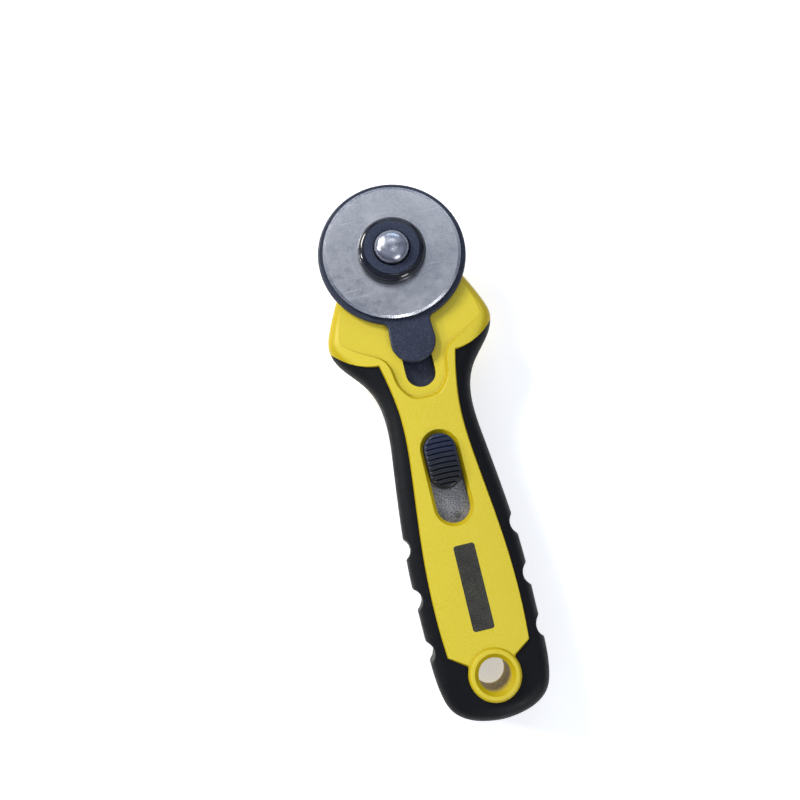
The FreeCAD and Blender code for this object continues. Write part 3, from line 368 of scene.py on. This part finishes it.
def plate_steel():
    """Sand-coloured grainy plating with a soft dark spot near the end of the window."""
    look = Look("plate_steel", Metallic=0.55)
    grain = look.remap(look.noise(2.6, 4, 0.75), 0.36, 0.64)
    spots = look.remap(look.cells(2.1), 0.05, 0.40, 1.0, 0.0)
    color = look.blend(grain, (0.055, 0.056, 0.062), (0.54, 0.54, 0.56))
    color = look.blend(look.math("MULTIPLY", spots, 0.55), color, (0.95, 0.95, 0.97))
    # A soft, mottled dark spot darkens the plate near the end of the window.
    dark_spot = look.remap(look.away_from(DARK_SPOT_X, DARK_SPOT_Y), 0.6, 3.6, 1.0, 0.0)
    dark_spot = look.math("MULTIPLY", dark_spot, look.remap(look.noise(0.6, 4, 0.6), 0.30, 0.62))
    look.set("Base Color", look.blend(look.math("MULTIPLY", dark_spot, 0.85), color, (0.060, 0.060, 0.062)))
    look.uneven_roughness(0.36, 0.55, 1.8, 3)
    look.bump(look.noise(2.4, 4, 0.7), 0.05)
    return look.material


def turned_steel(name, dark, light, rough):
    """Plated steel with faint turning marks and stains."""
    look = Look(name, Metallic=1.0)
    stain = look.cloud(0.5, 4, 0.6)
    look.set("Base Color", look.blend(stain, dark, light))
    look.uneven_roughness(rough - TURNED_SMOOTHER, rough + TURNED_ROUGHER, 1.6, 3)
    look.bump(look.noise(1.5, 3, where=look.stretched(0.6, 0.6, 6.0)), 0.012)
    return look.material


def bush_plastic():
    look = Look("bush_plastic", Roughness=0.45)
    cloud = look.cloud(0.8, 3)
    look.set("Base Color", look.blend(cloud, (0.55, 0.53, 0.47), (0.66, 0.64, 0.58)))
    look.bump(look.noise(3.0, 2), 0.01)
    return look.material


def patch_print():
    """Dark ink that lets a little of the yellow grain show."""
    look = Look("patch_print", Specular_IOR_Level=0.35)
    fleck = look.remap(look.noise(3.6, 2, 0.65), 0.50, 0.72)
    cloud = look.cloud(0.3, 3)
    ink = look.blend(cloud, (0.022, 0.022, 0.022), (0.034, 0.033, 0.031))
    look.set("Base Color", look.blend(look.math("MULTIPLY", fleck, 0.35), ink, (0.26, 0.23, 0.09)))
    look.uneven_roughness(0.36, 0.50, 1.1, 3)
    look.bump(look.noise(3.2, 2, 0.6), 0.022)
    return look.material


YELLOW, GRIP, GUARD = yellow_plastic(), soft_grip(), guard_plastic()
PLATE, HUB, BUSH = plate_steel(), hub_plastic(), bush_plastic()
SPRING = turned_steel("spring_steel", (0.33, 0.33, 0.35), (0.50, 0.50, 0.52), 0.32)
SCREW = turned_steel("screw_steel", (0.42, 0.42, 0.43), (0.60, 0.60, 0.60), 0.30)
BRASS = turned_steel("brass_insert", (0.62, 0.42, 0.15), (0.80, 0.60, 0.28), 0.28)
CHROME = polished_chrome()

NODE_LOOKS = {
    "front_shell": YELLOW, "back_shell": YELLOW, "front_grip": GRIP, "back_grip": GRIP,
    "guard": GUARD, "guard_link": GUARD, "axle_nut": HUB, "slide_plate": PLATE, "axle_plate": PLATE,
    "blade_bush": BUSH, "blade_spacer": BUSH, "nut_insert": BRASS, "spring_washer": SPRING,
    "nut_washer": SPRING, "detent_spring": SPRING, "detent_screw": SCREW, "link_screw": SCREW,
    "shell_screws": SCREW, "plate_rivets": SCREW, "button_rivets": SCREW,
}


def paint(thing, *materials):
    thing.data.materials.clear()
    for material in materials:
        thing.data.materials.append(material)


for node, material in NODE_LOOKS.items():
    paint(nodes[node], material)


# ---- pieces that stand for CAD nodes -----------------------------------------------------------

def piece(name, points, faces, sharp_degrees=SHARP_DEGREES):
    """A smooth mesh object from points in millimetres."""
    mesh = bpy.data.meshes.new(name)
    mesh.from_pydata([Vector(p) * MM for p in points], [], faces)
    mesh.validate()
    mesh.shade_smooth()
    mesh.set_sharp_from_angle(angle=math.radians(sharp_degrees))
    thing = bpy.data.objects.new(name, mesh)
    bpy.context.collection.objects.link(thing)
    return thing


def arc(radius, height, size, start, end, steps):
    """Points of a rounding in a profile: its centre, its size, and its angles in degrees."""
    angles = [math.radians(start + (end - start) * i / steps) for i in range(steps + 1)]
    return [(radius + size * math.cos(a), height + size * math.sin(a)) for a in angles]


def lathe(name, profile):
    """Turn a closed profile of (radius, height) about the blade axis. It runs anticlockwise seen with
    the radius to the right, and may start and end on the axis."""
    points, rows, faces = [], [], []
    for radius, height in profile:
        if radius == 0:
            rows.append([len(points)] * TURNS)
            points.append((0, AXIS_Y, height))
            continue
        rows.append(list(range(len(points), len(points) + TURNS)))
        for i in range(TURNS):
            angle = 2 * math.pi * i / TURNS
            points.append((radius * math.cos(angle), AXIS_Y + radius * math.sin(angle), height))
    open_ended = profile[0][0] == 0
    for j in range(len(rows) - 1 if open_ended else len(rows)):
        near, far = rows[j], rows[(j + 1) % len(rows)]
        for i in range(TURNS):
            k = (i + 1) % TURNS
            corners = [near[i], near[k], far[k], far[i]]
            faces.append(list(dict.fromkeys(corners)))
    return piece(name, points, faces)


def dress(thing, body, node):
    """Put a new piece on the body it rides on, and hide the CAD node it stands for."""
    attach(thing, body)
    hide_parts(node)


def body_of(node):
    return nodes[node]["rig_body"]


def second_material(thing, chosen):
    """Give the second material to the faces picked by their radius and height."""
    for face in thing.data.polygons:
        centre = face.center / MM
        if chosen(math.hypot(centre.x, centre.y - AXIS_Y), centre.z):
            face.material_index = 1


def grid_cells(rows, columns):
    """The corners of each cell of a grid of points, anticlockwise from above."""
    across = columns + 1
    for j in range(rows):
        for i in range(columns):
            corner = j * across + i
            yield corner, corner + 1, corner + 1 + across, corner + across


def grid_rim(rows, columns):
    """The points round the outside of such a grid, anticlockwise from above."""
    across = columns + 1
    near = list(range(columns))
    right = [j * across + columns for j in range(rows)]
    far = [rows * across + i for i in range(columns, 0, -1)]
    left = [j * across for j in range(rows, 0, -1)]
    return near + right + far + left


def walls(upper, lower):
    """The upright faces between an upper rim and the lower rim under it."""
    count = len(upper)
    return [(upper[i], lower[i], lower[(i + 1) % count], upper[(i + 1) % count]) for i in range(count)]


def make_blade():
    """The ring of the blade with its ground edge on both sides."""
    low, high = BLADE_LOW.z, BLADE_HIGH.z
    middle = (low + high) / 2
    root = BLADE_RADIUS - BEVEL_WIDTH
    rings = [BORE_RADIUS, *FACE_RINGS, root]
    under = [(r, low) for r in rings]
    over = [(r, high) for r in reversed(rings)]
    edge = [(BLADE_RADIUS, middle - EDGE_LAND / 2), (BLADE_RADIUS, middle + EDGE_LAND / 2)]
    blade = lathe("cutting_blade", under + edge + over)
    blade.data.set_sharp_from_angle(angle=math.radians(BEVEL_SHARP_DEGREES))
    paint(blade, blade_steel(), blade_edge())
    second_material(blade, lambda radius, height: radius > root)
    dress(blade, body_of("blade"), "blade")


def make_hub_cap():
    """The cap: bevelled foot, upright wall, rounded shoulder, flat textured ring and a well."""
    foot, top = CAP_LOW.z, CAP_HIGH.z
    shoulder = CAP_RADIUS - CAP_FLAT_RADIUS
    well = top - CAP_WELL_DEPTH
    profile = [(BOLT_HOLE, foot), (CAP_RADIUS - CAP_FOOT, foot)]
    profile += arc(CAP_RADIUS - CAP_FOOT, foot + CAP_FOOT, CAP_FOOT, -90, 0, FOOT_STEPS)[1:]
    profile += arc(CAP_FLAT_RADIUS, top - shoulder, shoulder, 0, 90, SHOULDER_STEPS)
    profile += arc(CAP_WELL_RADIUS + CAP_LIP, top - CAP_LIP, CAP_LIP, 90, 180, LIP_STEPS)
    profile += [(CAP_WELL_RADIUS, well), (BOLT_HOLE, well)]
    cap = lathe("hub_cap_shell", profile)
    paint(cap, HUB, hub_texture())
    second_material(cap, lambda radius, height: (height > top - NEAR
                                                 and CAP_WELL_RADIUS < radius < CAP_FLAT_RADIUS))
    dress(cap, body_of("hub_cap"), "hub_cap")


def make_bolt():
    """The axle bolt: a bevelled shank and a polished dome with steep sides."""
    tip, top = BOLT_LOW.z, BOLT_HIGH.z
    seat = CAP_HIGH.z - CAP_WELL_DEPTH
    rim = seat + DOME_RIM
    profile = [(0, tip), (BOLT_SHANK - BOLT_TIP_BEVEL, tip), (BOLT_SHANK, tip + BOLT_TIP_BEVEL),
               (BOLT_SHANK, seat), (DOME_RADIUS, seat)]
    for i in range(DOME_STEPS):
        angle = math.pi / 2 * i / DOME_STEPS
        radius = DOME_RADIUS * math.cos(angle) ** (2 / DOME_POWER)
        profile.append((radius, rim + (top - rim) * math.sin(angle) ** (2 / DOME_POWER)))
    profile.append((0, top))
    bolt = lathe("domed_bolt", profile)
    paint(bolt, CHROME)
    dress(bolt, body_of("axle_bolt"), "axle_bolt")


def button_height(x, y):
    """Height of the button's top at a place: a rounded rim, and grooves that arch and slant."""
    along = max(abs(y - BUTTON_Y) - BUTTON_REACH, 0)
    inside = BUTTON_HALF - math.hypot(x, along)
    height = BUTTON_HIGH.z
    if inside < BUTTON_EDGE:
        height -= BUTTON_EDGE - math.sqrt(max(BUTTON_EDGE ** 2 - (BUTTON_EDGE - inside) ** 2, 0))
    across = x / BUTTON_HALF
    bent = y - BUTTON_Y + GROOVE_ARCH * across ** 2 + GROOVE_SLANT * across
    turn = bent / GROOVE_PITCH + GROOVES / 2
    if not 0 < turn < GROOVES:
        return height
    share = turn % 1
    dip = abs(2 * share - 1) ** GROOVE_POWER + GROOVE_LEAN * (1 - share)
    fade = min(1, max(0, inside - GROOVE_END) / GROOVE_FADE)
    return height - GROOVE_DEPTH * dip * fade


def make_button():
    """The thumb button as a fine grid over its rounded outline, with straight side walls."""
    half_length = BUTTON_REACH + BUTTON_HALF
    points = []
    for j in range(BUTTON_ROWS + 1):
        y = BUTTON_Y - half_length * math.cos(math.pi * j / BUTTON_ROWS)
        along = max(abs(y - BUTTON_Y) - BUTTON_REACH, 0)
        wide = math.sqrt(max(BUTTON_HALF ** 2 - along ** 2, BUTTON_TIP_HALF ** 2))
        for i in range(BUTTON_COLUMNS + 1):
            x = wide * math.sin(math.pi / 2 * (2 * i / BUTTON_COLUMNS - 1))
            points.append((x, y, button_height(x, y)))
    rim = grid_rim(BUTTON_ROWS, BUTTON_COLUMNS)
    foot = range(len(points), len(points) + len(rim))
    points += [(points[r][0], points[r][1], BUTTON_LOW.z) for r in rim]
    faces = [*grid_cells(BUTTON_ROWS, BUTTON_COLUMNS), *walls(rim, foot), tuple(reversed(foot))]
    button = piece("ribbed_button", points, faces, BUTTON_SHARP_DEGREES)
    paint(button, button_plastic())
    dress(button, body_of("thumb_button"), "thumb_button")


def make_patch():
    """A plain printed patch that follows the crown of the face."""
    half, corner = PATCH_WIDTH / 2, PATCH_CORNER
    low, high = AXIS_Y + PATCH_TO, AXIS_Y + PATCH_FROM
    points, faces = [], []
    for layer in (PATCH_FILM, -PATCH_FILM):
        for j in range(PATCH_ROWS + 1):
            y = low + (high - low) * (0.5 - 0.5 * math.cos(math.pi * j / PATCH_ROWS))
            into = min(y - low, high - y)
            short = corner - math.sqrt(max(corner ** 2 - (corner - into) ** 2, 0)) if into < corner else 0
            for i in range(PATCH_COLUMNS + 1):
                x = (half - short) * (2 * i / PATCH_COLUMNS - 1)
                crown = CROWN_RADIUS - math.sqrt(CROWN_RADIUS ** 2 - x * x)
                points.append((x, y, FACE_Z - crown + layer))
    under = len(points) // 2
    for cell in grid_cells(PATCH_ROWS, PATCH_COLUMNS):
        faces.append(cell)
        faces.append((cell[0] + under, cell[3] + under, cell[2] + under, cell[1] + under))
    rim = grid_rim(PATCH_ROWS, PATCH_COLUMNS)
    faces += walls(rim, [r + under for r in rim])
    patch = piece("printed_patch", points, faces, PATCH_SHARP_DEGREES)
    paint(patch, patch_print())
    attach(patch, body_of("front_shell"))


make_blade()
make_hub_cap()
make_bolt()
make_button()
make_patch()


# ---- camera, floor and light ---------------------------------------------------------------------
# The picture frame has X to the right, Y up the picture and Z out of the tool's front. The tool is
# turned in it by TURN, and the camera leans back from its Z axis by TILT.

TILT, TURN = math.radians(11.1), math.radians(13.206)
DISTANCE = 260.52
SHIFT = Vector((-2.68, 49.228, 0))
BLADE_PLACE = Vector((0, AXIS_Y, BLADE_HIGH.z))
SENSOR, FOCAL = 36, 37.35
FLOOR_HALF, FLOOR_DROP = 3000.0, 0.02
WARM, NEUTRAL, COOL = (1.0, 0.98, 0.93), (1.0, 1.0, 1.0), (0.75, 0.86, 1.0)
to_row = Matrix.Rotation(TURN, 3, "Z").transposed()


def make_camera():
    camera = bpy.data.objects.new("camera", bpy.data.cameras.new("camera"))
    bpy.context.collection.objects.link(camera)
    camera.data.sensor_width = SENSOR
    camera.data.lens = FOCAL
    right = Vector((1, 0, 0))
    up = Vector((0, math.cos(TILT), math.sin(TILT)))
    back = Vector((0, -math.sin(TILT), math.cos(TILT)))
    turn = to_row @ Matrix((right, up, back)).transposed()
    place = to_row @ (back * DISTANCE - SHIFT) + BLADE_PLACE
    camera.matrix_world = Matrix.Translation(place * MM) @ turn.to_4x4()
    bpy.context.scene.camera = camera


def make_floor():
    reach, level = FLOOR_HALF * MM, -FLOOR_DROP * MM
    corners = [(-reach, -reach, level), (reach, -reach, level), (reach, reach, level), (-reach, reach, level)]
    mesh = bpy.data.meshes.new("floor")
    mesh.from_pydata(corners, [], [(0, 1, 2, 3)])
    floor = bpy.data.objects.new("floor", mesh)
    bpy.context.collection.objects.link(floor)
    look = Look("floor_paper", Roughness=0.8, Specular_IOR_Level=0.1, Emission_Strength=0.46)
    look.set("Emission Color", (1, 1, 1, 1))
    look.set("Base Color", look.blend(look.noise(0.02, 3), (0.89, 0.89, 0.89), (0.92, 0.92, 0.92)))
    paint(floor, look.material)


def softbox(name, across, along, distance, width, depth, radiance, color=NEUTRAL):
    """An area light. The blade sees it at these angles in degrees from straight up, to the right
    and up the picture. Its distance and sides are in metres."""
    towards = Vector((math.tan(math.radians(across)), math.tan(math.radians(along)), 1)).normalized()
    light = bpy.data.lights.new(name, "AREA")
    light.shape = "RECTANGLE"
    light.size, light.size_y = width, depth
    light.energy = radiance * math.pi * width * depth
    light.color = color
    lamp = bpy.data.objects.new(name, light)
    bpy.context.collection.objects.link(lamp)
    direction = to_row @ towards
    lamp.location = BLADE_PLACE * MM + direction * distance
    lamp.rotation_euler = direction.to_track_quat("Z", "Y").to_euler()


def make_world():
    """World light by direction along the tool: even from the butt's side to overhead, then a dim
    band, a pale band, and dim bluish light beyond the head."""
    world = bpy.data.worlds.new("studio")
    bpy.context.scene.world = world
    world.use_nodes = True
    tree = world.node_tree
    coords = tree.nodes.new("ShaderNodeTexCoord")
    split = tree.nodes.new("ShaderNodeSeparateXYZ")
    ramp = tree.nodes.new("ShaderNodeValToRGB")
    tree.links.new(coords.outputs["Generated"], split.inputs[0])
    tree.links.new(split.outputs["Y"], ramp.inputs["Fac"])
    stops = ((0.02, (0.33, 0.36, 0.44)), (0.22, (0.10, 0.115, 0.17)), (0.46, (0.47, 0.51, 0.59)),
             (0.70, (0.15, 0.18, 0.27)))
    elements = ramp.color_ramp.elements
    while len(elements) < len(stops):
        elements.new(0.5)
    for element, (position, color) in zip(elements, stops):
        element.position, element.color = position, (*color, 1)
    tree.links.new(ramp.outputs["Color"], tree.nodes["Background"].inputs["Color"])


make_camera()
make_floor()
make_world()
softbox("key", across=-50, along=44, distance=0.9, width=0.28, depth=0.28, radiance=28.0, color=WARM)
softbox("low_left", across=-65, along=12, distance=0.9, width=0.10, depth=0.10, radiance=85.0)
softbox("fill", across=43, along=-54, distance=1.1, width=0.28, depth=0.28, radiance=15.0,
        color=(1.0, 0.98, 0.94))
softbox("upper", across=-1, along=32.5, distance=1.2, width=0.50, depth=0.16, radiance=1.8,
        color=(0.96, 0.98, 1.0))
softbox("overhead", across=2.5, along=1.0, distance=1.2, width=0.22, depth=0.05, radiance=6.0)
softbox("overhead_right", across=11.5, along=7, distance=1.2, width=0.12, depth=0.08, radiance=4.5)
softbox("far_strip", across=4, along=62, distance=1.0, width=0.7, depth=0.10, radiance=5.0, color=COOL)
bpy.context.scene.view_settings.view_transform = "Standard"
